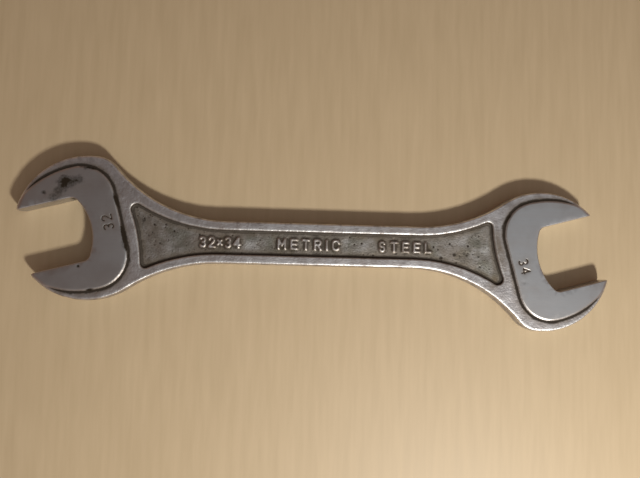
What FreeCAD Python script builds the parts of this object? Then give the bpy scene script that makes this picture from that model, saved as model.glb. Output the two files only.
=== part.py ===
import FreeCAD, Part
import math
import os
import Sketcher

# Double open-ended spanner, 32 mm and 34 mm across flats: one drop forging with no moving piece.
#
# Frame while modelling: the XY plane is the forging's parting plane, +X runs along the shank from the
# 32 mm head to the 34 mm head, and +Z points out of the marked face. At the end the body is lifted so
# that it rests on its lower jaw faces, with the origin under the middle of its bounding box.
#
# One quarter of the forging (the upper half of the 34 mm end) is modelled, turned by half a turn for
# the other end and mirrored for the lower half. The two mouths and the markings follow, because only
# they differ. Each head has a frame of its own: its origin is the centre of the round head, +U points
# out of the mouth and V runs across it.

SIZES = (
    ("shank_width", 21.8, "width of the shank over the parting line"),
    ("overlap", 10.0, "how far each modelled half runs past the middle, into the other half"),
    ("forged_thickness", 8.9, "thickness over the rails and the forged border of the heads"),
    ("head_thickness", 10.5, "thickness over the two ground jaw faces"),
    ("web_thickness", 5.9, "thickness of the web between the two sunk panels"),
    ("draft_angle", 5.0, "forging draft of the outer walls, degrees"),
    ("edge_radius", 2.2, "rounding of the outer forged edges"),
    ("head_x", 115.6, "distance of each head centre from the middle, along X"),
    ("head_drop", 5.6, "distance of each head centre from the shank's axis"),
    ("head_radius", 36.2, "radius of the round head"),
    ("jaw_angle", 15.0, "angle between the mouth and the shank, degrees"),
    ("shallow_radius", 81.0, "radius from the shank to the head, on the side the mouth leans to"),
    ("deep_radius", 73.0, "radius from the shank to the head, on the other side"),
    ("deep_start", 47.0, "distance from the middle to where the deep side starts to widen"),
    ("shoulder_radius", 14.0, "rounding of the shoulder where the deep side meets the head"),
    ("flats_small", 32.0, "size across flats of the small mouth"),
    ("flats_large", 34.0, "size across flats of the large mouth"),
    ("jaw_clearance", 0.2, "play between the mouth and its nut"),
    ("mouth_reach", 42.0, "how far the mouth's cut reaches from the head centre"),
    ("throat_back", 2.3, "distance of the throat's bottom behind the head centre"),
    ("throat_ratio", 0.86, "radius of the throat's bottom over the width of the mouth"),
    ("throat_corner", 4.0, "radius between the throat's bottom and each flat"),
    ("boss_back", 15.9, "distance of the jaw face's straight back edge behind the head centre"),
    ("boss_half_width", 30.3, "half the width of the raised jaw face"),
    ("boss_flank", 46.0, "radius of the jaw face's long flanks"),
    ("boss_crown", 0.5, "distance of the jaw face's widest place before the head centre"),
    ("boss_corner", 16.0, "radius of the jaw face's two back corners"),
    ("boss_front", 38.5, "radius that closes the jaw face beyond the jaw tips"),
    ("boss_slope", 50.0, "slope of the step round the jaw face, degrees from upright"),
    ("boss_foot", 1.2, "rounding at the foot of that step"),
    ("border_reach", 160.0, "how far the border's cut reaches from the head centre"),
    ("panel_overlap", 15.0, "how far the half panel's cut runs past the middle, to beyond the overlap"),
    ("panel_half_width", 6.4, "half the width of the sunk panel along the shank"),
    ("panel_deep_start", 48.0, "distance from the middle to where the panel's deep side widens"),
    ("panel_deep_radius", 83.0, "radius of the panel's deep side"),
    ("panel_end_x", 168.4, "distance from the middle to the centre of the panel's end arc, along X"),
    ("panel_end_y", 14.8, "distance of that centre from the shank's axis"),
    ("panel_end_radius", 79.0, "radius of the panel's end"),
    ("panel_top_corner", 2.8, "corner radius of the panel, shallow side"),
    ("panel_low_corner", 3.2, "corner radius of the panel, deep side"),
    ("panel_slope", 22.0, "slope of the panel's walls, degrees from upright"),
    ("panel_foot", 0.8, "rounding at the foot of the panel's walls"),
    ("panel_brow", 0.5, "rounding at the top of the panel's walls"),
    ("jaw_chamfer", 0.3, "chamfer round the mouths"),
    ("numeral_height", 4.6, "height of the stamped size numerals, between stroke middles"),
    ("numeral_pen", 0.7, "stroke width of the stamped size numerals"),
    ("numeral_depth", 0.35, "depth of the stamped size numerals"),
    ("numeral_back", 10.4, "distance of the numerals' middle behind the head centre"),
    ("letter_height", 4.5, "height of the raised marking, between stroke middles"),
    ("letter_pen", 0.9, "stroke width of the raised marking"),
    ("letter_rise", 0.5, "height of the raised marking above the web"),
    ("mark_overlap", 0.1, "how far each marking's tool runs past the face it works on"),
)

UP = FreeCAD.Vector(0, 0, 1)
START, END, CENTRE = 1, 2, 3
ORIGIN = (-1, 1)
TOUCH = 0.001
LEAST_CUT = 1.0


def make_sheet(doc):
    """The driving dimensions: a name, a plain number with an alias, and what it is."""
    sheet = doc.addObject("Spreadsheet::Sheet", "Sizes")
    for row, (alias, value, meaning) in enumerate(SIZES, start=1):
        sheet.set(f"A{row}", alias)
        sheet.set(f"B{row}", str(value))
        sheet.set(f"C{row}", meaning)
        sheet.setAlias(f"B{row}", alias)
    doc.recompute()
    return sheet


# ---------------------------------------------------------------- plane geometry

def point(x, y):
    return FreeCAD.Vector(x, y, 0)


def meet(centre_a, radius_a, centre_b, radius_b, side):
    """Where two circles cross, on the left (+1) or right (-1) of the way from A to B."""
    way = centre_b - centre_a
    along = (radius_a ** 2 - radius_b ** 2 + way.Length ** 2) / (2 * way.Length)
    across = math.sqrt(radius_a ** 2 - along ** 2)
    ahead = way / way.Length
    return centre_a + ahead * along + UP.cross(ahead) * (across * side)


def towards(centre, target, distance):
    """The point at a distance from a centre, on the way to a target."""
    way = target - centre
    return centre + way * (distance / way.Length)


# ---------------------------------------------------------------- sketch tools

def new_sketch(body, name, lift=None):
    """A sketch on the body's XY plane, raised by a formula if one is given."""
    plane = next(part for part in body.Origin.OriginFeatures if part.Role == "XY_Plane")
    sketch = body.newObject("Sketcher::SketchObject", name)
    sketch.AttachmentSupport = [(plane, "")]
    sketch.MapMode = "FlatFace"
    if lift:
        sketch.setExpression(".AttachmentOffset.Base.z", lift)
    return sketch


def move_to_head(sketch, end):
    """Put a sketch in a head's frame: end is +1 for the 34 mm head and -1 for the 32 mm head."""
    sketch.AttachmentOffset = FreeCAD.Placement(point(0, 0), FreeCAD.Rotation(UP, 1))
    turn = 0 if end > 0 else 180
    sketch.setExpression(".AttachmentOffset.Base.x", f"{end} * Sizes.head_x")
    sketch.setExpression(".AttachmentOffset.Base.y", f"{-end} * Sizes.head_drop")
    sketch.setExpression(".AttachmentOffset.Rotation.Angle", f"{turn} + Sizes.jaw_angle")


def add_line(sketch, start, end):
    return sketch.addGeometry(Part.LineSegment(start, end), False)


def add_arc(sketch, centre, start, end):
    """An arc that runs counterclockwise from start to end."""
    first = math.atan2(start.y - centre.y, start.x - centre.x)
    last = math.atan2(end.y - centre.y, end.x - centre.x)
    if last <= first:
        last += 2 * math.pi
    circle = Part.Circle(centre, UP, (start - centre).Length)
    return sketch.addGeometry(Part.ArcOfCircle(circle, first, last), False)


def name_size(sketch, name, kind, ends, value, formula):
    """Add a dimension and bind it to a formula on the sheet."""
    index = sketch.addConstraint(Sketcher.Constraint(kind, *ends, value))
    sketch.renameConstraint(index, name)
    sketch.setExpression(f"Constraints.{name}", formula)


def name_radius(sketch, name, arc, formula):
    name_size(sketch, name, "Radius", (arc,), sketch.Geometry[arc].Radius, formula)


def name_place(sketch, name, spot, place, formula_x=None, formula_y=None):
    """Bind a point's distances from the sketch's origin, along X, along Y or both."""
    for axis, value, formula in (("X", place.x, formula_x), ("Y", place.y, formula_y)):
        if formula:
            ends = ORIGIN + spot if value > 0 else spot + ORIGIN
            name_size(sketch, f"{name}_{axis.lower()}", f"Distance{axis}", ends, abs(value), formula)


def join(sketch, kind, *joints):
    """Make pairs of ends meet: kind is Tangent or Coincident."""
    for first, second in joints:
        sketch.addConstraint(Sketcher.Constraint(kind, *first, *second))


# ---------------------------------------------------------------- sketches

def outline_points(size):
    """Centres of the outline's arcs and the joints between its pieces, from the top round to the bottom."""
    half = size("shank_width") / 2
    head = point(size("head_x"), -size("head_drop"))
    rise = half + size("shallow_radius") - head.y
    run = math.sqrt((size("shallow_radius") + size("head_radius")) ** 2 - rise ** 2)
    shallow = point(head.x - run, half + size("shallow_radius"))
    deep = point(size("deep_start"), -half - size("deep_radius"))
    shoulder = meet(deep, size("deep_radius") + size("shoulder_radius"),
                    head, size("head_radius") - size("shoulder_radius"), -1)
    joints = (
        point(shallow.x, half),
        towards(shallow, head, size("shallow_radius")),
        towards(head, shoulder, size("head_radius")),
        towards(deep, shoulder, size("deep_radius")),
        point(deep.x, -half),
    )
    return (shallow, head, shoulder, deep), joints


def draw_outline(sketch, size):
    """Half the outline over the parting line: a straight shank that swells into a round head."""
    half = size("shank_width") / 2
    (shallow_at, head_at, shoulder_at, deep_at), joints = outline_points(size)
    top_end, head_top, head_low, deep_end, low_end = joints
    cut_x = -size("overlap")
    cut = add_line(sketch, point(cut_x, half), point(cut_x, -half))
    low = add_line(sketch, point(cut_x, -half), low_end)
    deep = add_arc(sketch, deep_at, deep_end, low_end)
    shoulder = add_arc(sketch, shoulder_at, deep_end, head_low)
    head = add_arc(sketch, head_at, head_low, head_top)
    shallow = add_arc(sketch, shallow_at, top_end, head_top)
    top = add_line(sketch, top_end, point(cut_x, half))
    join(sketch, "Coincident", ((top, END), (cut, START)), ((cut, END), (low, START)))
    join(sketch, "Tangent", ((low, END), (deep, END)), ((deep, START), (shoulder, START)),
         ((shoulder, END), (head, START)), ((head, END), (shallow, END)), ((shallow, START), (top, START)))
    sketch.addConstraint(Sketcher.Constraint("Vertical", cut))
    sketch.addConstraint(Sketcher.Constraint("Horizontal", top))
    sketch.addConstraint(Sketcher.Constraint("Horizontal", low))
    name_place(sketch, "top", (cut, START), point(cut_x, half), "Sizes.overlap", "Sizes.shank_width / 2")
    name_place(sketch, "low", (cut, END), point(cut_x, -half), None, "Sizes.shank_width / 2")
    name_place(sketch, "deep", (low, END), low_end, "Sizes.deep_start")
    name_place(sketch, "head", (head, CENTRE), head_at, "Sizes.head_x", "Sizes.head_drop")
    name_radius(sketch, "deep_radius", deep, "Sizes.deep_radius")
    name_radius(sketch, "shoulder_radius", shoulder, "Sizes.shoulder_radius")
    name_radius(sketch, "head_radius", head, "Sizes.head_radius")
    name_radius(sketch, "shallow_radius", shallow, "Sizes.shallow_radius")


# where the outline's shallow side starts to widen, which the panel's edge follows
SHALLOW_START = (
    "Sizes.head_x - sqrt((Sizes.shallow_radius + Sizes.head_radius) ^ 2"
    " - (Sizes.shank_width / 2 + Sizes.shallow_radius + Sizes.head_drop) ^ 2)"
)


def draw_panel(sketch, size):
    """Half the sunk panel's edge: it keeps an even rail along the shank and flares into the head."""
    half = size("panel_half_width")
    shallow_at = outline_points(size)[0][0]
    shallow_radius = shallow_at.y - half
    deep_radius = size("panel_deep_radius")
    end_radius = size("panel_end_radius")
    deep_at = point(size("panel_deep_start"), -half - deep_radius)
    end_at = point(size("panel_end_x"), size("panel_end_y"))
    high_at = meet(shallow_at, shallow_radius + size("panel_top_corner"),
                   end_at, end_radius + size("panel_top_corner"), -1)
    deep_corner_at = meet(deep_at, deep_radius + size("panel_low_corner"),
                          end_at, end_radius + size("panel_low_corner"), 1)
    top_end = point(shallow_at.x, half)
    low_end = point(deep_at.x, -half)
    shallow_end = towards(shallow_at, high_at, shallow_radius)
    end_top = towards(end_at, high_at, end_radius)
    end_low = towards(end_at, deep_corner_at, end_radius)
    deep_end = towards(deep_at, deep_corner_at, deep_radius)
    cut_x = -size("panel_overlap")
    cut = add_line(sketch, point(cut_x, half), point(cut_x, -half))
    low = add_line(sketch, point(cut_x, -half), low_end)
    deep = add_arc(sketch, deep_at, deep_end, low_end)
    low_corner = add_arc(sketch, deep_corner_at, deep_end, end_low)
    end = add_arc(sketch, end_at, end_top, end_low)
    top_corner = add_arc(sketch, high_at, end_top, shallow_end)
    shallow = add_arc(sketch, shallow_at, top_end, shallow_end)
    top = add_line(sketch, top_end, point(cut_x, half))
    join(sketch, "Coincident", ((top, END), (cut, START)), ((cut, END), (low, START)))
    join(sketch, "Tangent", ((low, END), (deep, END)), ((deep, START), (low_corner, START)),
         ((low_corner, END), (end, END)), ((end, START), (top_corner, START)),
         ((top_corner, END), (shallow, END)), ((shallow, START), (top, START)))
    sketch.addConstraint(Sketcher.Constraint("Vertical", cut))
    sketch.addConstraint(Sketcher.Constraint("Horizontal", top))
    sketch.addConstraint(Sketcher.Constraint("Horizontal", low))
    name_place(sketch, "top", (cut, START), point(cut_x, half),
               "Sizes.panel_overlap", "Sizes.panel_half_width")
    name_place(sketch, "low", (cut, END), point(cut_x, -half), None, "Sizes.panel_half_width")
    name_place(sketch, "deep", (low, END), low_end, "Sizes.panel_deep_start")
    name_place(sketch, "shallow", (top, START), top_end, SHALLOW_START)
    name_place(sketch, "end", (end, CENTRE), end_at, "Sizes.panel_end_x", "Sizes.panel_end_y")
    name_radius(sketch, "deep_radius", deep, "Sizes.panel_deep_radius")
    name_radius(sketch, "low_corner", low_corner, "Sizes.panel_low_corner")
    name_radius(sketch, "end_radius", end, "Sizes.panel_end_radius")
    name_radius(sketch, "top_corner", top_corner, "Sizes.panel_top_corner")
    name_radius(sketch, "shallow_radius", shallow,
                "Sizes.shallow_radius + Sizes.shank_width / 2 - Sizes.panel_half_width")


def draw_boss(sketch, size):
    """The raised jaw face in the head's frame: straight back, round corners and long flanks."""
    flank = size("boss_flank")
    corner = size("boss_corner")
    front_radius = size("boss_front")
    back_u = -size("boss_back")
    crown_u = size("boss_crown")
    flank_v = size("boss_half_width") - flank
    corner_u = back_u + corner
    corner_v = flank_v + math.sqrt((flank - corner) ** 2 - (crown_u - corner_u) ** 2)
    middle = point(0, 0)
    sides = []
    for side in (-1, 1):
        flank_at = point(crown_u, side * flank_v)
        corner_at = point(corner_u, side * corner_v)
        back_end = point(back_u, side * corner_v)
        corner_end = towards(flank_at, corner_at, flank)
        tip = meet(middle, front_radius, flank_at, flank, side)
        sides.append((flank_at, corner_at, back_end, corner_end, tip))
    low, high = sides
    back = add_line(sketch, high[2], low[2])
    low_corner = add_arc(sketch, low[1], low[2], low[3])
    low_flank = add_arc(sketch, low[0], low[3], low[4])
    front = add_arc(sketch, middle, low[4], high[4])
    high_flank = add_arc(sketch, high[0], high[4], high[3])
    high_corner = add_arc(sketch, high[1], high[3], high[2])
    join(sketch, "Tangent", ((back, END), (low_corner, START)), ((low_corner, END), (low_flank, START)),
         ((high_flank, END), (high_corner, START)), ((high_corner, END), (back, START)))
    join(sketch, "Coincident", ((low_flank, END), (front, START)), ((front, END), (high_flank, START)),
         ((front, CENTRE), ORIGIN))
    sketch.addConstraint(Sketcher.Constraint("Equal", low_flank, high_flank))
    sketch.addConstraint(Sketcher.Constraint("Equal", low_corner, high_corner))
    name_place(sketch, "back", (back, START), high[2], "Sizes.boss_back")
    sketch.addConstraint(Sketcher.Constraint("Vertical", back))
    name_place(sketch, "high_flank", (high_flank, CENTRE), high[0],
               "Sizes.boss_crown", "Sizes.boss_flank - Sizes.boss_half_width")
    name_place(sketch, "low_flank", (low_flank, CENTRE), low[0],
               "Sizes.boss_crown", "Sizes.boss_flank - Sizes.boss_half_width")
    name_radius(sketch, "flank_radius", low_flank, "Sizes.boss_flank")
    name_radius(sketch, "corner_radius", low_corner, "Sizes.boss_corner")
    name_radius(sketch, "front_radius", front, "Sizes.boss_front")


def draw_mouth(sketch, size, flats):
    """The mouth in the head's frame: two flats, a shallow round bottom and two corner radii."""
    half = (size(flats) + size("jaw_clearance")) / 2
    corner = size("throat_corner")
    throat = size("throat_ratio") * size(flats)
    throat_at = point(throat - size("throat_back"), 0)
    corner_v = half - corner
    corner_u = throat_at.x - math.sqrt((throat - corner) ** 2 - corner_v ** 2)
    reach = size("mouth_reach")
    high_at = point(corner_u, corner_v)
    low_at = point(corner_u, -corner_v)
    high_end = towards(throat_at, high_at, throat)
    low_end = towards(throat_at, low_at, throat)
    bottom = add_arc(sketch, throat_at, high_end, low_end)
    low_corner = add_arc(sketch, low_at, low_end, point(corner_u, -half))
    low_flat = add_line(sketch, point(corner_u, -half), point(reach, -half))
    front = add_line(sketch, point(reach, -half), point(reach, half))
    high_flat = add_line(sketch, point(reach, half), point(corner_u, half))
    high_corner = add_arc(sketch, high_at, point(corner_u, half), high_end)
    join(sketch, "Tangent", ((bottom, END), (low_corner, START)), ((low_corner, END), (low_flat, START)),
         ((high_flat, END), (high_corner, START)), ((high_corner, END), (bottom, START)))
    join(sketch, "Coincident", ((low_flat, END), (front, START)), ((front, END), (high_flat, START)))
    sketch.addConstraint(Sketcher.Constraint("Horizontal", low_flat))
    sketch.addConstraint(Sketcher.Constraint("Horizontal", high_flat))
    sketch.addConstraint(Sketcher.Constraint("Vertical", front))
    sketch.addConstraint(Sketcher.Constraint("Equal", low_corner, high_corner))
    sketch.addConstraint(Sketcher.Constraint("PointOnObject", bottom, CENTRE, -1))
    half_formula = f"(Sizes.{flats} + Sizes.jaw_clearance) / 2"
    name_place(sketch, "high", (front, END), point(reach, half), "Sizes.mouth_reach", half_formula)
    name_place(sketch, "low", (front, START), point(reach, -half), None, half_formula)
    name_place(sketch, "throat", (bottom, CENTRE), throat_at,
               f"Sizes.throat_ratio * Sizes.{flats} - Sizes.throat_back")
    name_radius(sketch, "throat_radius", bottom, f"Sizes.throat_ratio * Sizes.{flats}")
    name_radius(sketch, "corner_radius", low_corner, "Sizes.throat_corner")


def draw_border(sketch, size):
    """All that lies round the jaw face: a square larger than half the forging, with the face left out."""
    reach = size("border_reach")
    corners = (point(-reach, -reach), point(reach, -reach), point(reach, reach), point(-reach, reach))
    sides = [add_line(sketch, corners[turn], corners[(turn + 1) % 4]) for turn in range(4)]
    join(sketch, "Coincident", *(((sides[turn], END), (sides[(turn + 1) % 4], START)) for turn in range(4)))
    for turn, direction in enumerate(("Horizontal", "Vertical", "Horizontal", "Vertical")):
        sketch.addConstraint(Sketcher.Constraint(direction, sides[turn]))
    name_place(sketch, "near", (sides[0], START), corners[0], "Sizes.border_reach", "Sizes.border_reach")
    name_place(sketch, "far", (sides[2], START), corners[2], "Sizes.border_reach", "Sizes.border_reach")
    draw_boss(sketch, size)


# ---------------------------------------------------------------- the forging

def find_edges(shape, test):
    """Names of the edges that pass a test."""
    return [f"Edge{number}" for number, edge in enumerate(shape.Edges, start=1) if test(edge)]


def at_level(edge, level):
    """Whether an edge lies flat at a height."""
    return all(abs(vertex.Z - level) < TOUCH for vertex in edge.Vertexes)


def crosses_cut(edge):
    """Whether an edge runs along the end where the modelled half is cut off."""
    return edge.Curve.TypeId == "Part::GeomLine" and abs(edge.tangentAt(edge.FirstParameter).x) < TOUCH


def add_feature(body, kind, name, **formulas):
    feature = body.newObject(f"PartDesign::{kind}", name)
    for setting, formula in formulas.items():
        feature.setExpression(setting, formula)
    return feature


def round_edges(body, name, base, test, formula):
    """A fillet over all edges of a feature that pass a test."""
    body.Document.recompute()
    fillet = add_feature(body, "Fillet", name, Radius=formula)
    fillet.Base = (base, find_edges(base.Shape, test))
    body.Document.recompute()
    return fillet


def cut_pocket(body, name, sketch, **formulas):
    """A pocket, which has to take material away."""
    body.Document.recompute()
    before = body.Shape.Volume
    pocket = add_feature(body, "Pocket", name, **formulas)
    pocket.Profile = sketch
    body.Document.recompute()
    if before - body.Shape.Volume < LEAST_CUT:
        raise RuntimeError(f"{name} cuts nothing")
    return pocket


def forge_quarter(body, size):
    """The upper half of the 34 mm end: blank, rounded edges, forged border, step and sunk panel."""
    top = size("head_thickness") / 2
    rail = size("forged_thickness") / 2
    web = size("web_thickness") / 2
    wall_middle = (rail + web) / 2
    outline = new_sketch(body, "outline")
    draw_outline(outline, size)
    blank = add_feature(body, "Pad", "blank", Length="Sizes.head_thickness / 2",
                        TaperAngle="-Sizes.draft_angle")
    blank.Profile = outline
    edges = round_edges(body, "outer_edges", blank,
                        lambda edge: at_level(edge, top) and not crosses_cut(edge), "Sizes.edge_radius")
    border = new_sketch(body, "border", "Sizes.head_thickness / 2")
    move_to_head(border, 1)
    draw_border(border, size)
    border_cut = cut_pocket(body, "forged_border", border, TaperAngle="Sizes.boss_slope",
                            Length="(Sizes.head_thickness - Sizes.forged_thickness) / 2")

    def at_step_foot(edge):
        faces = border_cut.Shape.ancestorsOfType(edge, Part.Face)
        rises = any(face.BoundBox.ZMax > top - TOUCH and face.BoundBox.ZMin > rail - TOUCH for face in faces)
        return at_level(edge, rail) and rises

    round_edges(body, "step_foot", border_cut, at_step_foot, "Sizes.boss_foot")
    panel = new_sketch(body, "panel", "Sizes.forged_thickness / 2")
    draw_panel(panel, size)
    panel_cut = cut_pocket(body, "sunk_panel", panel, TaperAngle="-Sizes.panel_slope",
                           Length="(Sizes.forged_thickness - Sizes.web_thickness) / 2")
    foot = round_edges(body, "panel_foot", panel_cut,
                       lambda edge: at_level(edge, web) and not crosses_cut(edge), "Sizes.panel_foot")

    def at_panel_brow(edge):
        faces = foot.Shape.ancestorsOfType(edge, Part.Face)
        falls = any(web - TOUCH < face.BoundBox.ZMin < wall_middle for face in faces)
        return at_level(edge, rail) and falls

    round_edges(body, "panel_brow", foot, at_panel_brow, "Sizes.panel_brow")


def origin_part(body, role):
    return next(part for part in body.Origin.OriginFeatures if part.Role == role)


def repeat_quarter(body):
    """Half a turn makes the other end, and a mirror makes the underside."""
    turned = body.newObject("PartDesign::PolarPattern", "other_end")
    turned.TransformMode = "Whole shape"
    turned.Axis = (origin_part(body, "Z_Axis"), [""])
    turned.Angle = 360
    turned.Occurrences = 2
    body.Tip = turned
    body.Document.recompute()
    mirrored = body.newObject("PartDesign::Mirrored", "underside")
    mirrored.TransformMode = "Whole shape"
    mirrored.MirrorPlane = (origin_part(body, "XY_Plane"), [""])
    body.Tip = mirrored
    body.Document.recompute()


def cut_mouth(body, size, name, end, flats):
    """A mouth through the head, with a small chamfer on both faces."""
    top = size("head_thickness") / 2
    sketch = new_sketch(body, f"{name}_outline")
    move_to_head(sketch, end)
    draw_mouth(sketch, size, flats)
    mouth = cut_pocket(body, name, sketch)
    mouth.SideType = "Symmetric"
    mouth.Type = "ThroughAll"
    body.Document.recompute()
    head_at = sketch.Placement.Base

    def at_mouth(edge):
        near = all(math.hypot(vertex.X - head_at.x, vertex.Y - head_at.y) < size("head_radius")
                   for vertex in edge.Vertexes)
        faces = mouth.Shape.ancestorsOfType(edge, Part.Face)
        upright = any(face.BoundBox.ZLength > size("forged_thickness") for face in faces)
        return near and upright and (at_level(edge, top) or at_level(edge, -top))

    chamfer = add_feature(body, "Chamfer", f"{name}_chamfer", Size="Sizes.jaw_chamfer")
    chamfer.Base = (mouth, find_edges(mouth.Shape, at_mouth))
    body.Document.recompute()


# ---------------------------------------------------------------- the marks

# Each sign is drawn with a round pen on a grid 6 high: lines as (x, y, x, y), and arcs as
# (centre x, centre y, radius, first angle, last angle), counterclockwise. The first number is its width.
SIGNS = {
    "2": (4, ((2, 4.4, 1.6, -40, 165), (3.23, 3.37, 0.4, 0), (0.4, 0, 3.8, 0))),
    "3": (4, ((2, 4.5, 1.5, -90, 150), (2, 1.5, 1.5, -150, 90))),
    "4": (4, ((3, 0, 3, 6), (3, 6, 0.3, 1.9), (0.3, 1.9, 4, 1.9))),
    "x": (3, ((0.3, 1.6, 2.7, 4.4), (0.3, 4.4, 2.7, 1.6))),
    "C": (4, ((2, 4, 2, 20, 180), (0, 4, 0, 2), (2, 2, 2, 180, 340))),
    "E": (3.6, ((0, 0, 0, 6), (0, 6, 3.6, 6), (0, 3.1, 3, 3.1), (0, 0, 3.6, 0))),
    "I": (0, ((0, 0, 0, 6),)),
    "L": (3.4, ((0, 6, 0, 0), (0, 0, 3.4, 0))),
    "M": (4.4, ((0, 0, 0, 6), (0, 6, 2.2, 2.2), (2.2, 2.2, 4.4, 6), (4.4, 6, 4.4, 0))),
    "R": (3.8, ((0, 0, 0, 6), (0, 6, 2.2, 6), (2.2, 4.5, 1.5, -90, 90), (2.2, 3, 0, 3), (1.8, 3, 3.8, 0))),
    "S": (4, ((2, 4.5, 1.5, 20, 270), (2, 1.5, 1.5, -160, 90))),
    "T": (4, ((0, 6, 4, 6), (2, 6, 2, 0))),
}
GRID_HEIGHT = 6


def round_the_end(middle, way, radius):
    """A half circle about a stroke's end, bulging the given way."""
    side = UP.cross(way) * radius
    return Part.Arc(middle + side, middle + way * radius, middle - side).toShape()


def stroke_face(stroke, scale, pen):
    """The flat shape that a round pen leaves along one stroke."""
    radius = pen / 2
    if len(stroke) == 4:
        start = point(stroke[0], stroke[1]) * scale
        end = point(stroke[2], stroke[3]) * scale
        way = (end - start).normalize()
        side = UP.cross(way) * radius
        edges = [
            Part.makeLine(start - side, end - side),
            round_the_end(end, way * -1, -radius),
            Part.makeLine(end + side, start + side),
            round_the_end(start, way, -radius),
        ]
    else:
        centre = point(stroke[0], stroke[1]) * scale
        bow = stroke[2] * scale
        first, last = stroke[3:]
        ends = [math.radians(angle) for angle in (first, last)]
        start, end = (centre + point(math.cos(angle), math.sin(angle)) * bow for angle in ends)
        ways = [point(-math.sin(angle), math.cos(angle)) for angle in ends]
        edges = [
            Part.makeCircle(bow + radius, centre, UP, first, last),
            round_the_end(end, ways[1] * -1, -radius),
            Part.makeCircle(bow - radius, centre, UP, first, last),
            round_the_end(start, ways[0], -radius),
        ]
    return Part.Face(Part.Wire(Part.__sortEdges__(edges)))


def write_signs(text, height, gap, pen, depth):
    """Raised signs in a row, centred on the origin, standing on the XY plane."""
    scale = height / GRID_HEIGHT
    widths = [SIGNS[sign][0] for sign in text]
    left = -(sum(widths) + gap * (len(text) - 1)) / 2
    strokes = []
    for sign, width in zip(text, widths):
        for stroke in SIGNS[sign][1]:
            solid = stroke_face(stroke, scale, pen).extrude(UP * depth)
            solid.translate(point(left * scale, -height / 2))
            strokes.append(solid)
        left += width + gap
    return strokes[0].multiFuse(strokes[1:]).removeSplitter()


# the raised marking: words, middle along the shank, and gap between signs on the grid
MARKING = (("32x34", -50.5, 1.9), ("METRIC", -5.7, 4.2), ("STEEL", 43.6, 4.2))
NUMERAL_GAP = 1.9


def add_marks(doc, size):
    """The size numerals to be stamped into the jaw faces, and the raised marking on the web."""
    top = size("head_thickness") / 2
    web = size("web_thickness") / 2
    sink = size("mark_overlap")
    numerals = []
    for text, end in (("34", 1), ("32", -1)):
        mark = write_signs(text, size("numeral_height"), NUMERAL_GAP, size("numeral_pen"),
                           size("numeral_depth") + sink)
        mark.rotate(point(0, 0), UP, -90)
        mark.translate(FreeCAD.Vector(-size("numeral_back"), 0, top - size("numeral_depth")))
        turn = size("jaw_angle") if end > 0 else size("jaw_angle") + 180
        mark.rotate(point(0, 0), UP, turn)
        mark.translate(point(end * size("head_x"), -end * size("head_drop")))
        numerals.append(mark)
    letters = []
    for text, middle, gap in MARKING:
        mark = write_signs(text, size("letter_height"), gap, size("letter_pen"), size("letter_rise") + sink)
        mark.translate(FreeCAD.Vector(middle, 0, web - sink))
        letters.append(mark)
    stamps = doc.addObject("Part::Feature", "numeral_stamps")
    stamps.Shape = Part.makeCompound(numerals)
    marking = doc.addObject("Part::Feature", "raised_marking")
    marking.Shape = Part.makeCompound(letters)
    return stamps, marking


# ---------------------------------------------------------------- the document

def main():
    doc = FreeCAD.newDocument("spanner")
    size = make_sheet(doc).get
    body = doc.addObject("PartDesign::Body", "forging")
    forge_quarter(body, size)
    repeat_quarter(body)
    cut_mouth(body, size, "small_mouth", -1, "flats_small")
    cut_mouth(body, size, "large_mouth", 1, "flats_large")
    stamps, marking = add_marks(doc, size)
    stamped = doc.addObject("Part::Cut", "stamped_forging")
    stamped.Base = body
    stamped.Tool = stamps
    stamped.Refine = False
    spanner = doc.addObject("Part::Fuse", "spanner")
    spanner.Base = stamped
    spanner.Tool = marking
    spanner.Refine = False
    spanner.Label = "forged_body"
    doc.recompute()
    box = spanner.Shape.optimalBoundingBox()
    spanner.Placement.Base = FreeCAD.Vector(-box.Center.x, -box.Center.y, -box.ZMin)
    doc.recompute()
    check(doc, spanner)
    os.makedirs("parts", exist_ok=True)
    spanner.Shape.exportStep(f"parts/{spanner.Label}.step")
    report(spanner)


def check(doc, spanner):
    """Stop if any object failed, or if the spanner isn't one valid solid."""
    for item in doc.Objects:
        if {"Invalid", "Error"} & set(item.State):
            raise RuntimeError(f"{item.Name} failed: {item.State}")
    shape = spanner.Shape
    if shape.isNull() or not shape.isValid() or len(shape.Solids) != 1:
        raise RuntimeError("the spanner isn't one valid solid")


def report(spanner):
    box = spanner.Shape.optimalBoundingBox()
    print(f"{spanner.Label}: {box.XLength:.1f} x {box.YLength:.1f} x {box.ZLength:.1f} mm, "
          f"{spanner.Shape.Volume / 1000:.1f} cm3, {len(spanner.Shape.Faces)} faces")


main()
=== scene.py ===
"""The looks of a worn double open-ended wrench that lies on a pale table.

The wrench is one forging, so one dense mesh stands for the CAD body: an even copy of it, with the
edges worn round, the jaw tips blunted, forging waves, pits and nicks. Where that mesh is hollow, sharp,
ground or dirt-covered is kept in point attributes, which the steel's material reads. The dirt in the
hollows and round them also stands for painted shade in the creases and beside the steps.
"""

import math

import bpy
import numpy as np
from mathutils import Matrix, Vector


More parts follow.
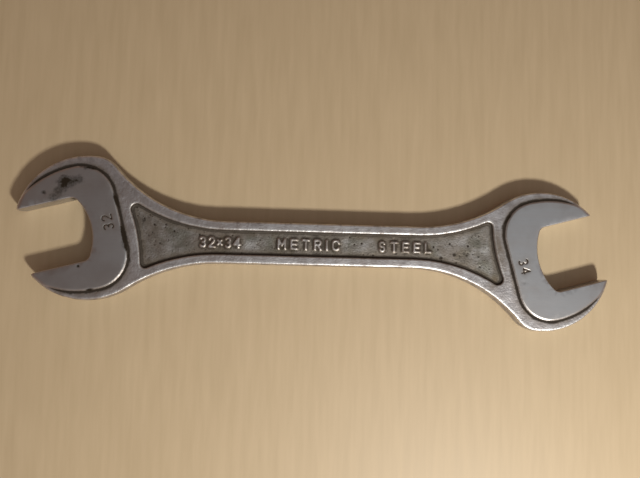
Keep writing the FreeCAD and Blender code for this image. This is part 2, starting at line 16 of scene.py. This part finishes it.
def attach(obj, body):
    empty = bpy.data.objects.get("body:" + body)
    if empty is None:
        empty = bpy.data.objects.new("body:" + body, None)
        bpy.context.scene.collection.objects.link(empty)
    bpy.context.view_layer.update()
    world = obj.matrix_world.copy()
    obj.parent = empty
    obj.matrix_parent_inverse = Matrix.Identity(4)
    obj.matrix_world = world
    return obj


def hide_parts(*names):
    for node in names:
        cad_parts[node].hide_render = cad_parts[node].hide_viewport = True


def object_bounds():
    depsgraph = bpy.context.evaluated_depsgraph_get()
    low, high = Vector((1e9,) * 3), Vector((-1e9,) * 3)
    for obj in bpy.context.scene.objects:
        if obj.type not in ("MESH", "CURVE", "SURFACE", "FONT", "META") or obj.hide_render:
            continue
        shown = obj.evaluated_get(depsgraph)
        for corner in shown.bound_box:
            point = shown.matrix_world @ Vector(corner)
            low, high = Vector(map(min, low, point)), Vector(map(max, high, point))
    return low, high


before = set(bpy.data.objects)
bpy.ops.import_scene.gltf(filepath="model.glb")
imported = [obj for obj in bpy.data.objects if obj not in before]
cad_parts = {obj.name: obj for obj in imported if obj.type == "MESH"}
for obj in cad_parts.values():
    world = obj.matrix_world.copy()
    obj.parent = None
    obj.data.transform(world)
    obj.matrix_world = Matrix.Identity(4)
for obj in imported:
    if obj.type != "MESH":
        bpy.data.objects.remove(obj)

MM = 0.001
CAD_LOW, CAD_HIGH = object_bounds()
MIDDLE_Z = (CAD_LOW.z + CAD_HIGH.z) / 2
HALF_THICK = (CAD_HIGH.z - CAD_LOW.z) / 2

# ---- the wrench's layout, as in the CAD part
HEAD_X = 115.6 * MM
HEAD_DROP = 5.6 * MM
JAW_ANGLE = math.radians(15)
THROAT_BACK = 2.3 * MM
HEAD_RADIUS = 36.2 * MM
HALF_MOUTH = {-1: 16.1 * MM, 1: 17.1 * MM}
WEB_DROP = 2.3 * MM
PANEL_END = 92 * MM

# ---- the dense mesh: its faces, and the smoothing passes that wear its edges and jaw tips
CELL = 0.3 * MM
MOST_FACES = 190000
EDGE_PASSES = 3
TIP_PASSES = 40
TIP_REACH = {-1: 2.8 * MM, 1: 1.4 * MM}
MOUTH_MARGIN = 0.8 * MM
MOUTH_SHARE = 0.25

# ---- ground steel: the depths below the highest face over which it ends, and the mouths' walls, which
# are as good as upright
GROUND_DEPTH = 0.12 * MM
SKIN_DEPTH = 0.32 * MM
THROAT_MARGIN = 0.5 * MM
FLAT_MARGIN = 0.4 * MM
UPRIGHT_SLOPE = 0.4
LEANING_SLOPE = 0.7

# ---- the sunk panel: how much of its wall still belongs to it, and which slopes are not the outer wall's
PANEL_WALL = 0.6 * MM
OUTER_WALL_SLOPE = 0.15
PANEL_WALL_SLOPE = 0.35
LEVEL_SLOPE = 0.95

# ---- hollows and ridges: how far smoothing moves a full one, and the dim halo round it. The material darkens the hollows and the halo, partly as dirt and rust and partly as painted shade.
HOLLOW_PASSES = 30
FULL_HOLLOW = 0.11 * MM
HALO_PASSES = 60
FULL_HALO = 0.30

# ---- slow waves of the forged skin and of the ground faces: wavelength and height in mm, and seed
WAVES_PER_RIPPLE = 20
SKIN_RIPPLES = ((9, 0.022, 1), (3.2, 0.009, 2), (1.3, 0.007, 3))
GROUND_RIPPLE = (8, 0.005, 4)

# ---- pits in the sunk panel: how many, their radii and depths in mm, and how dirty they are
PITS = 110
PIT_SEED = 5
PIT_RADII = (0.3, 0.7)
PIT_DEPTHS = (0.05, 0.14)
PIT_SOOT = 0.8

# ---- the stamped numerals: their place in the head's frame, the depths they span and their dirt
NUMERAL_ALONG = (-14.0 * MM, -6.8 * MM)
NUMERAL_ACROSS = 5.6 * MM
NUMERAL_TOP = 0.01 * MM
NUMERAL_FLOOR = 0.10 * MM
NUMERAL_DEEPEST = 0.7 * MM
NUMERAL_DIRT = {-1: 0.45, 1: 1.0}
NUMERAL_SOOT = 0.42


# ---------------------------------------------------------------- mesh arrays

def link(item):
    bpy.context.scene.collection.objects.link(item)
    return item


def apply_modifiers(piece):
    """The piece's mesh becomes what its modifiers make of it."""
    graph = bpy.context.evaluated_depsgraph_get()
    made = bpy.data.meshes.new_from_object(piece.evaluated_get(graph))
    piece.modifiers.clear()
    piece.data = made


def even_copy(node, name):
    """A copy of a CAD node's mesh, rebuilt from small even faces."""
    piece = link(bpy.data.objects.new(name, node.data.copy()))
    grid = piece.modifiers.new("even faces", "REMESH")
    grid.mode = "VOXEL"
    grid.voxel_size = CELL
    apply_modifiers(piece)
    return piece


def read_points(mesh):
    flat = np.empty(len(mesh.vertices) * 3, np.float32)
    mesh.vertices.foreach_get("co", flat)
    return flat.reshape(-1, 3).astype(float)


def write_points(mesh, points):
    mesh.vertices.foreach_set("co", points.astype(np.float32).ravel())
    mesh.update()


def read_normals(mesh):
    flat = np.empty(len(mesh.vertices) * 3, np.float32)
    mesh.vertex_normals.foreach_get("vector", flat)
    return flat.reshape(-1, 3).astype(float)


def read_edges(mesh):
    flat = np.empty(len(mesh.edges) * 2, np.int32)
    mesh.edges.foreach_get("vertices", flat)
    return flat.reshape(-1, 2)


def keep_attribute(mesh, name, values):
    layer = mesh.attributes.new(name, "FLOAT", "POINT")
    layer.data.foreach_set("value", values.astype(np.float32))


def smoothed(points, edges, passes, weight=None):
    """Each pass moves every point halfway to the middle of its neighbours, times its weight."""
    count = len(points)
    degree = np.bincount(edges.ravel(), minlength=count)[:, None]
    share = 0.5 if weight is None else 0.5 * weight[:, None]
    ends = np.concatenate([edges[:, 0], edges[:, 1]])
    others = np.concatenate([edges[:, 1], edges[:, 0]])
    result = points.copy()
    for _ in range(passes):
        total = np.stack([np.bincount(ends, column[others], count) for column in result.T], 1)
        result += (total / degree - result) * share
    return result


def ripple(points, wavelength, seed):
    """A smooth random field of about unit size, from plane waves with random directions."""
    rng = np.random.default_rng(seed)
    waves = rng.normal(size=(WAVES_PER_RIPPLE, 3))
    waves /= np.linalg.norm(waves, axis=1)[:, None]
    waves *= (2 * math.pi / wavelength) * rng.uniform(0.7, 1.5, (WAVES_PER_RIPPLE, 1))
    starts = rng.uniform(0, 2 * math.pi, WAVES_PER_RIPPLE)
    return np.sin(points @ waves.T + starts).sum(1) / math.sqrt(WAVES_PER_RIPPLE / 2)


def ramp(values, low, high):
    """0 up to low, 1 from high on, and smooth between."""
    t = np.clip((values - low) / (high - low), 0, 1)
    return t * t * (3 - 2 * t)


def head_frame(points, end):
    """Places along a head's mouth and across it, from the head's centre.

    The end is -1 for the 32 mm head and +1 for the 34 mm head.
    """
    x = end * points[:, 0] - HEAD_X
    y = end * points[:, 1] + HEAD_DROP
    along = x * math.cos(JAW_ANGLE) + y * math.sin(JAW_ANGLE)
    across = -x * math.sin(JAW_ANGLE) + y * math.cos(JAW_ANGLE)
    return along, across


# ---------------------------------------------------------------- wear

# Dents in the edges and faces: x, y, z, radius, depth, in mm. Those on the marked face come first.
NICKS = (
    (-118.5, -13.7, 10.5, 0.6, 0.15),
    (-112.6, -25.6, 10.3, 1.2, 0.22),
    (-136.8, 22.0, 10.5, 1.2, 0.08),
    (105.1, -16.4, 10.5, 0.8, 0.06),
    (-88.1, 9.8, 9.7, 0.9, 0.14),
    (141.0, 12.2, 10.5, 0.8, 0.20),
    (-146.5, -21.0, 0.0, 1.0, 0.30),
    (20.0, 11.2, 9.3, 1.0, 0.15),
    (-33.0, -11.2, 9.3, 1.2, 0.18),
    (64.0, -13.0, 0.4, 1.2, 0.25),
)

# Marks on the marked face: x, y, reach along and across, turn in degrees, strength.
# Soot is black and rust is brown. The two thin black lines along the upper steps of the jaw faces are
# painted shade as well as soot.
SOOT_AND_STEP_SHADE = (
    (-124.9, 28.4, 5.6, 2.5, 4, 1.0),
    (-127.6, 25.2, 4.2, 1.5, 50, 0.75),
    (-131.4, 21.2, 2.4, 1.0, 70, 0.70),
    (-130.5, 21.5, 5.5, 3.0, 50, 0.55),
    (-124.0, 27.5, 6.5, 3.6, 10, 0.42),
    (-136.8, 22.0, 1.5, 1.2, 0, 0.75),
    (-118.5, -13.7, 0.8, 0.8, 0, 0.80),
    (-112.6, -25.3, 2.2, 1.0, 10, 0.80),
    (-101.4, 18.6, 5.5, 1.1, 112, 0.90),
    (-97.2, 1.5, 8.5, 1.2, 103, 0.95),
    (-94.7, -8.0, 4.5, 0.9, 100, 0.70),
    # painted shade as well as soot: a thin black line along the top step of the 32 mm head's jaw face
    (-114.2, 35.0, 6.5, 0.8, -7, 0.70),
    # painted shade as well as soot: a thin black line along the upper left step of the 34 mm head's jaw
    # face
    (97.2, 16.5, 6.5, 0.8, 58, 0.75),
    (-88.1, 9.8, 1.6, 1.3, 20, 0.50),
    (62.4, -5.2, 1.4, 1.0, 0, 0.75),
    (68.5, 1.1, 1.0, 0.8, 0, 0.55),
    (69.6, -3.4, 1.4, 1.1, 30, 0.70),
    (74.8, -2.3, 1.3, 1.0, 10, 0.55),
    (82.1, -4.1, 1.1, 0.9, 0, 0.55),
    (71.6, 5.3, 1.1, 0.7, 20, 0.45),
)
RUST = (
    (-131.0, 21.5, 4.6, 3.6, 40, 0.75),
    (-121.0, 26.0, 6.0, 3.0, 0, 0.35),
    (90.6, -16.0, 5.0, 3.0, 60, 0.95),
    (86.5, 8.5, 5.5, 3.5, 60, 0.60),
    (93.0, -1.5, 13.0, 3.2, 103, 1.0),
    (69.5, -3.0, 9.0, 4.5, 0, 0.45),
    (95.5, -24.5, 3.5, 2.5, 30, 0.20),
    (-84.0, 7.5, 5.0, 3.0, -30, 0.35),
)


def soften(mesh):
    """Worn edges everywhere but round the mouths, and blunt jaw tips."""
    edges = read_edges(mesh)
    points = read_points(mesh)
    share = np.ones(len(points))
    near_tip = np.zeros(len(points))
    for end, half in HALF_MOUTH.items():
        along, across = head_frame(points, end)
        in_mouth = (along > -THROAT_BACK - MOUTH_MARGIN) & (np.abs(across) < half + MOUTH_MARGIN)
        share[in_mouth] = MOUTH_SHARE
        tip_at = math.sqrt(HEAD_RADIUS ** 2 - half ** 2)
        away = np.hypot(along - tip_at, np.abs(across) - half)
        near_tip = np.maximum(near_tip, 1 - ramp(away, TIP_REACH[end] / 2, TIP_REACH[end]))
    points = smoothed(points, edges, EDGE_PASSES, share)
    worn = near_tip > 0
    keep = np.nonzero(worn)[0]
    lookup = np.full(len(points), -1)
    lookup[keep] = np.arange(len(keep))
    inner = edges[worn[edges].all(1)]
    points[keep] = smoothed(points[keep], lookup[inner], TIP_PASSES, near_tip[keep])
    write_points(mesh, points)


def ground_share(points, normals):
    """1 on the ground jaw faces and on the machined mouths, 0 on the forged skin."""
    height = np.abs(points[:, 2] - MIDDLE_Z)
    share = ramp(height, HALF_THICK - SKIN_DEPTH, HALF_THICK - GROUND_DEPTH)
    upright = 1 - ramp(np.abs(normals[:, 2]), UPRIGHT_SLOPE, LEANING_SLOPE)
    for end, half in HALF_MOUTH.items():
        along, across = head_frame(points, end)
        in_mouth = (along > -THROAT_BACK - THROAT_MARGIN) & (np.abs(across) < half + FLAT_MARGIN)
        share = np.maximum(share, in_mouth * upright)
    return share


def panel_share(points, normals):
    """1 in the sunk panels, 0 on the rails, the heads and the outer walls."""
    height = np.abs(points[:, 2] - MIDDLE_Z)
    share = 1 - ramp(height, HALF_THICK - WEB_DROP, HALF_THICK - WEB_DROP + PANEL_WALL)
    return share * ramp(np.abs(normals[:, 2]), OUTER_WALL_SLOPE, PANEL_WALL_SLOPE)


def painted(points, marks):
    """How strongly a list of marks covers each point of the marked face."""
    cover = np.zeros(len(points))
    for x, y, long, wide, turn, strength in marks:
        cosine = math.cos(math.radians(turn))
        sine = math.sin(math.radians(turn))
        dx = points[:, 0] / MM - x
        dy = points[:, 1] / MM - y
        reach = ((dx * cosine + dy * sine) / long) ** 2 + ((dy * cosine - dx * sine) / wide) ** 2
        cover = np.maximum(cover, strength * np.exp(-reach ** 1.5))
    return cover * (points[:, 2] > MIDDLE_Z)


def numeral_dirt(points):
    """Dirt down in the stamped numerals."""
    cover = np.zeros(len(points))
    depth = CAD_HIGH.z - points[:, 2]
    sunk = ramp(depth, NUMERAL_TOP, NUMERAL_FLOOR) * (depth < NUMERAL_DEEPEST)
    for end, strength in NUMERAL_DIRT.items():
        along, across = head_frame(points, end)
        inside = (along > NUMERAL_ALONG[0]) & (along < NUMERAL_ALONG[1])
        inside &= np.abs(across) < NUMERAL_ACROSS
        cover = np.maximum(cover, sunk * inside * strength)
    return cover


def forging_waves(points, ground):
    """How far the slow waves lift each point."""
    skin = sum(height * ripple(points, length * MM, seed) for length, height, seed in SKIN_RIPPLES)
    length, height, seed = GROUND_RIPPLE
    return (1 - ground) * skin * MM + ground * height * ripple(points, length * MM, seed) * MM


def dig_pits(points, places):
    """How far small pits at random places sink each point, and which points lie in one."""
    rng = np.random.default_rng(PIT_SEED)
    sink = np.zeros(len(points))
    pitted = np.zeros(len(points))
    for index in rng.choice(places, PITS, replace=False):
        radius = rng.uniform(*PIT_RADII) * MM
        away = np.linalg.norm(points - points[index], axis=1)
        dip = np.exp(-(away / radius) ** 2)
        sink += dip * rng.uniform(*PIT_DEPTHS) * MM
        pitted = np.maximum(pitted, dip)
    return sink, pitted


def dig_nicks(points):
    """How far the dents sink each point."""
    sink = np.zeros(len(points))
    for x, y, z, radius, depth in NICKS:
        away = np.linalg.norm(points - np.array([x, y, z]) * MM, axis=1)
        sink += np.exp(-(away / (radius * MM)) ** 2) * depth * MM
    return sink


def wear(mesh):
    """Forging waves, pits and nicks, and the attributes that the material reads."""
    points = read_points(mesh)
    normals = read_normals(mesh)
    edges = read_edges(mesh)
    ground = ground_share(points, normals)
    panel = panel_share(points, normals)
    level = (np.abs(normals[:, 2]) > LEVEL_SLOPE) & (np.abs(points[:, 0]) < PANEL_END) & (panel > 0.5)
    sink, pitted = dig_pits(points, np.nonzero(level)[0])
    lift = forging_waves(points, ground) - sink - dig_nicks(points)
    # the hollows get dark dirt in the material, which also paints the shade in the creases and steps
    bend = ((smoothed(points, edges, HOLLOW_PASSES) - points) * normals).sum(1)
    hollow = np.clip(bend / FULL_HOLLOW, 0, 1)
    # the halo browns the steel round the hollows: partly rust, partly painted shade beside the steps
    halo = smoothed(hollow[:, None], edges, HALO_PASSES)[:, 0] / FULL_HALO
    stamped = numeral_dirt(points)
    # soot, together with the painted shade lines along two steps
    soot_and_shade = np.maximum(np.maximum(pitted * PIT_SOOT, painted(points, SOOT_AND_STEP_SHADE)), stamped * NUMERAL_SOOT)
    write_points(mesh, points + normals * lift[:, None])
    keep_attribute(mesh, "ground", ground)
    keep_attribute(mesh, "panel", panel)
    keep_attribute(mesh, "soot_and_shade", soot_and_shade)
    keep_attribute(mesh, "rust", np.maximum(painted(points, RUST), stamped))
    keep_attribute(mesh, "hollow", hollow)
    keep_attribute(mesh, "halo", np.clip(halo, 0, 1))
    keep_attribute(mesh, "ridge", np.clip(-bend / FULL_HOLLOW, 0, 1))


def thin_out(piece):
    """Fewer, larger faces where the surface is flat."""
    triangles = sum(len(face.vertices) - 2 for face in piece.data.polygons)
    fewer = piece.modifiers.new("fewer faces", "DECIMATE")
    fewer.ratio = min(1.0, MOST_FACES / triangles)
    apply_modifiers(piece)
    piece.data.shade_smooth()


def make_wrench():
    piece = even_copy(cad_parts["forged_body"], "wrench_forging")
    soften(piece.data)
    wear(piece.data)
    thin_out(piece)
    piece.data.materials.clear()
    piece.data.materials.append(worn_steel())
    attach(piece, "root")
    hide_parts("forged_body")


# ---------------------------------------------------------------- materials

# ---- colours, all linear
SKIN_DARK = (0.345, 0.325, 0.318)
SKIN_LIGHT = (0.575, 0.56, 0.56)
PANEL_DARK = (0.25, 0.23, 0.195)
PANEL_LIGHT = (0.47, 0.46, 0.435)
PANEL_BLOTCH = (0.165, 0.162, 0.120)
GROUND_DARK = (0.47, 0.455, 0.445)
GROUND_LIGHT = (0.54, 0.53, 0.525)
BROWN_BLOOM = (0.31, 0.24, 0.20)
RUBBED_EDGE = (0.80, 0.785, 0.765)
# the brown of rust, also used for painted shade round the hollows
RUST_AND_SHADE_BROWN = (0.150, 0.112, 0.070)
# the black of dirt, also used for painted shade in the hollows and along two steps
BLACK_DIRT_AND_SHADE = (0.022, 0.016, 0.010)
WOOD_DARK = (0.46, 0.352, 0.208)
WOOD_LIGHT = (0.58, 0.455, 0.285)


class Nodes:
    """Short forms for building the nodes of a material or of the world."""

    def __init__(self, owner, coordinates):
        owner.use_nodes = True
        self.tree = owner.node_tree
        self.place = self.add("ShaderNodeTexCoord").outputs[coordinates]

    def add(self, kind, **settings):
        node = self.tree.nodes.new(kind)
        for key, value in settings.items():
            setattr(node, key, value)
        return node

    def feed(self, socket, value):
        """Joins an output to a socket, or sets the socket's own value."""
        if isinstance(value, bpy.types.NodeSocket):
            self.tree.links.new(value, socket)
        elif isinstance(value, tuple) and len(value) == 3 and socket.type == "RGBA":
            socket.default_value = (*value, 1)
        else:
            socket.default_value = value

    def math(self, operation, a, b):
        node = self.add("ShaderNodeMath", operation=operation)
        self.feed(node.inputs[0], a)
        self.feed(node.inputs[1], b)
        return node.outputs[0]

    def times(self, a, b):
        return self.math("MULTIPLY", a, b)

    def largest(self, a, b):
        return self.math("MAXIMUM", a, b)

    def all_but(self, share, whole=1.0):
        """What a share leaves of the whole."""
        return self.math("SUBTRACT", whole, share)

    def stirred(self, value, noise, strength):
        """A value that noise makes larger or smaller, by up to half the strength."""
        return self.math("ADD", value, self.times(self.math("SUBTRACT", noise, 0.5), strength))

    def mix(self, share, a, b):
        """A colour on the way from a to b."""
        node = self.add("ShaderNodeMix", data_type="RGBA")
        self.feed(node.inputs[0], share)
        self.feed(node.inputs[6], a)
        self.feed(node.inputs[7], b)
        return node.outputs[2]

    def blend(self, share, a, b):
        """A number on the way from a to b."""
        node = self.add("ShaderNodeMix", data_type="FLOAT")
        self.feed(node.inputs[0], share)
        self.feed(node.inputs[2], a)
        self.feed(node.inputs[3], b)
        return node.outputs[0]

    def ramp(self, value, low, high):
        """0 up to low, 1 from high on, and smooth between."""
        node = self.add("ShaderNodeMapRange", interpolation_type="SMOOTHSTEP")
        self.feed(node.inputs["Value"], value)
        self.feed(node.inputs["From Min"], low)
        self.feed(node.inputs["From Max"], high)
        return node.outputs["Result"]

    def noise(self, size, detail, stretch=None, roughness=0.55):
        """Noise whose features are about that size, in metres."""
        place = self.place
        if stretch:
            mapping = self.add("ShaderNodeMapping")
            self.feed(mapping.inputs["Vector"], place)
            mapping.inputs["Scale"].default_value = stretch
            place = mapping.outputs["Vector"]
        node = self.add("ShaderNodeTexNoise")
        self.feed(node.inputs["Vector"], place)
        node.inputs["Scale"].default_value = 1 / size
        node.inputs["Detail"].default_value = detail
        node.inputs["Roughness"].default_value = roughness
        return node.outputs["Fac"]

    def attribute(self, name):
        return self.add("ShaderNodeAttribute", attribute_name=name).outputs["Fac"]

    def bump(self, height, depth, strength, under=None):
        node = self.add("ShaderNodeBump")
        self.feed(node.inputs["Height"], height)
        node.inputs["Distance"].default_value = depth
        node.inputs["Strength"].default_value = strength
        if under is not None:
            self.feed(node.inputs["Normal"], under)
        return node.outputs["Normal"]


def worn_steel():
    """Used forged steel: satin ground jaws, duller skin, brown bloom, and dirt in the hollows that is
    also painted shade.
    """
    material = bpy.data.materials.new("worn_steel")
    n = Nodes(material, "Object")
    shader = n.tree.nodes["Principled BSDF"]
    ground = n.attribute("ground")
    panel = n.attribute("panel")
    hollow = n.attribute("hollow")
    halo = n.attribute("halo")
    ridge = n.attribute("ridge")
    soot_and_shade = n.attribute("soot_and_shade")
    rust = n.attribute("rust")
    broad = n.noise(22 * MM, 3)
    mottle = n.noise(4 * MM, 6)
    cloud = n.noise(6.5 * MM, 7, roughness=0.65)
    blotch = n.noise(9 * MM, 3)
    speck = n.noise(0.9 * MM, 5)
    lines = n.noise(3 * MM, 4, stretch=(0.12, 2.6, 1.0))

    # clean steel: the forged skin, the panel's floor, the ground faces and the rubbed edges
    skin = n.mix(n.ramp(mottle, 0.25, 0.75), SKIN_DARK, SKIN_LIGHT)
    floor = n.mix(n.ramp(cloud, 0.38, 0.62), PANEL_DARK, PANEL_LIGHT)
    floor = n.mix(n.times(n.ramp(blotch, 0.46, 0.64), 0.70), floor, PANEL_BLOTCH)
    skin = n.mix(n.times(panel, 0.9), skin, floor)
    steel = n.mix(ground, skin, n.mix(lines, GROUND_DARK, GROUND_LIGHT))
    steel = n.mix(n.times(n.ramp(broad, 0.40, 0.70), 0.30), steel, BROWN_BLOOM)
    edge = n.times(n.ramp(ridge, 0.25, 0.9), n.ramp(mottle, 0.25, 0.6))
    edge = n.times(edge, n.all_but(n.times(panel, 0.65), 0.8))
    edge = n.times(edge, n.all_but(n.times(ground, 0.8)))
    steel = n.mix(edge, steel, RUBBED_EDGE)

    # rust and painted shade: patchy rust in its painted marks, and round the hollows a brown that is
    # partly rust and partly painted shade beside the steps
    brown = n.largest(n.times(halo, 0.75), rust)
    brown = n.times(brown, n.blend(n.ramp(cloud, 0.30, 0.62), 0.35, 0.85))
    steel = n.mix(brown, steel, RUST_AND_SHADE_BROWN)

    # dirt and painted shade: in the hollows, where the dirt also paints the shade of the creases and
    # steps; in its painted marks, some of them painted shade lines along the steps; and peppered over the
    # panel
    crease_dirt_and_shade = n.stirred(hollow, mottle, 0.8)
    crease_dirt_and_shade = n.ramp(crease_dirt_and_shade, n.blend(panel, 0.10, 0.22), n.blend(panel, 0.55, 0.88))
    crease_dirt_and_shade = n.times(crease_dirt_and_shade, n.blend(panel, 0.95, 0.72))
    soot_and_shade_cover = n.stirred(n.stirred(soot_and_shade, speck, 0.5), mottle, 0.9)
    soot_and_shade_cover = n.times(n.ramp(soot_and_shade_cover, 0.14, 0.72), n.ramp(soot_and_shade, 0.03, 0.30))
    peppered = n.times(n.ramp(speck, 0.57, 0.71), n.times(panel, 0.75))
    dirt_and_shade_film = n.largest(n.largest(crease_dirt_and_shade, soot_and_shade_cover), peppered)
    n.feed(shader.inputs["Base Color"], n.mix(dirt_and_shade_film, steel, BLACK_DIRT_AND_SHADE))

    # thick dirt, and the painted shade with it, is dull and no metal; rust, and the painted shade round
    # the hollows, is a little less of one
    shader.inputs["Specular IOR Level"].default_value = 0.10
    metal = n.all_but(n.times(brown, 0.35))
    n.feed(shader.inputs["Metallic"], n.blend(n.ramp(dirt_and_shade_film, 0.55, 1.0), metal, 0.15))
    gloss = n.blend(ground, n.blend(mottle, 0.56, 0.40), n.blend(lines, 0.42, 0.34))
    gloss = n.blend(n.times(edge, 0.6), gloss, 0.30)
    n.feed(shader.inputs["Roughness"], n.blend(n.ramp(dirt_and_shade_film, 0.5, 1.0), gloss, 0.75))

    scratch = n.bump(lines, 0.015 * MM, 0.5)
    matte = n.all_but(n.times(ground, 0.88))
    n.feed(shader.inputs["Normal"], n.bump(n.times(speck, matte), 0.18 * MM, 0.8, scratch))
    return material


def pale_table():
    """Pale varnished wood with a fine grain."""
    material = bpy.data.materials.new("pale_table")
    n = Nodes(material, "Object")
    shader = n.tree.nodes["Principled BSDF"]
    grain = n.noise(4 * MM, 5, stretch=(1.0, 0.09, 1.0))
    n.feed(shader.inputs["Base Color"], n.mix(grain, WOOD_DARK, WOOD_LIGHT))
    n.feed(shader.inputs["Roughness"], n.blend(grain, 0.50, 0.60))
    return material


# ---------------------------------------------------------------- stage, lights and camera

TABLE_SIZE = 4.0


def make_table():
    half = TABLE_SIZE / 2
    mesh = bpy.data.meshes.new("table")
    corners = [(-half, -half, 0), (half, -half, 0), (half, half, 0), (-half, half, 0)]
    mesh.from_pydata(corners, [], [(0, 1, 2, 3)])
    mesh.materials.append(pale_table())
    table = link(bpy.data.objects.new("table", mesh))
    table.location.z = CAD_LOW.z


# ---- the one lamp: a small square, in front of the wrench and to its right
KEY_WAY = Vector((0.35, -0.62, 0.70)).normalized()
KEY_DISTANCE = 0.62
KEY_SIZE = 0.062
KEY_POWER = 3.5
KEY_COLOUR = (1.0, 0.98, 0.94)


def make_key_light():
    light = bpy.data.lights.new("key", "AREA")
    light.size = KEY_SIZE
    light.energy = KEY_POWER
    light.color = KEY_COLOUR
    lamp = link(bpy.data.objects.new("key", light))
    lamp.location = KEY_WAY * KEY_DISTANCE
    lamp.rotation_mode = "QUATERNION"
    lamp.rotation_quaternion = KEY_WAY.to_track_quat("Z", "Y")


# ---- the room: warm grey round the horizon and brown above it. Overhead it is dim on one side and
# bright on the other.
BRIGHT_SIDE = (0.87, -0.50, 0.0)
ROOM_DIM = (0.105, 0.075, 0.062)
ROOM_BRIGHT = (0.43, 0.475, 0.51)
ROOM_LOW = (0.235, 0.110, 0.065)
ROOM_HORIZON = (0.24, 0.20, 0.17)


def make_room():
    world = bpy.data.worlds.new("soft room")
    bpy.context.scene.world = world
    n = Nodes(world, "Generated")
    side = n.add("ShaderNodeVectorMath", operation="DOT_PRODUCT")
    n.feed(side.inputs[0], n.place)
    n.feed(side.inputs[1], BRIGHT_SIDE)
    split = n.add("ShaderNodeSeparateXYZ")
    n.feed(split.inputs[0], n.place)
    height = split.outputs["Z"]
    overhead = n.mix(n.ramp(side.outputs["Value"], -0.55, 0.60), ROOM_DIM, ROOM_BRIGHT)
    low = n.mix(n.ramp(height, 0.10, 0.55), ROOM_HORIZON, ROOM_LOW)
    room = n.mix(n.ramp(height, 0.52, 0.88), low, overhead)
    n.feed(n.tree.nodes["Background"].inputs["Color"], room)


# ---- the camera: almost straight above, a little in front of the wrench's middle
CAMERA_PLACE = Vector((-17.0, -14.9, 299.1)) * MM
CAMERA_AIM = Vector((0.6, 3.5, 0.0)) * MM
CAMERA_TURN = math.radians(1.37)
CAMERA_LENS = 32.3
SENSOR_WIDTH = 36
NEAREST = 10 * MM


def make_camera():
    camera = link(bpy.data.objects.new("camera", bpy.data.cameras.new("camera")))
    camera.data.lens = CAMERA_LENS
    camera.data.sensor_width = SENSOR_WIDTH
    camera.data.clip_start = NEAREST
    forward = (CAMERA_AIM - CAMERA_PLACE).normalized()
    top = Vector((-math.sin(CAMERA_TURN), math.cos(CAMERA_TURN), 0))
    right = forward.cross(top).normalized()
    up = right.cross(forward)
    turn = Matrix((right, up, -forward)).transposed().to_4x4()
    camera.matrix_world = Matrix.Translation(CAMERA_PLACE) @ turn
    bpy.context.scene.camera = camera


make_wrench()
make_table()
make_key_light()
make_room()
make_camera()
bpy.context.scene.view_settings.view_transform = "Standard"
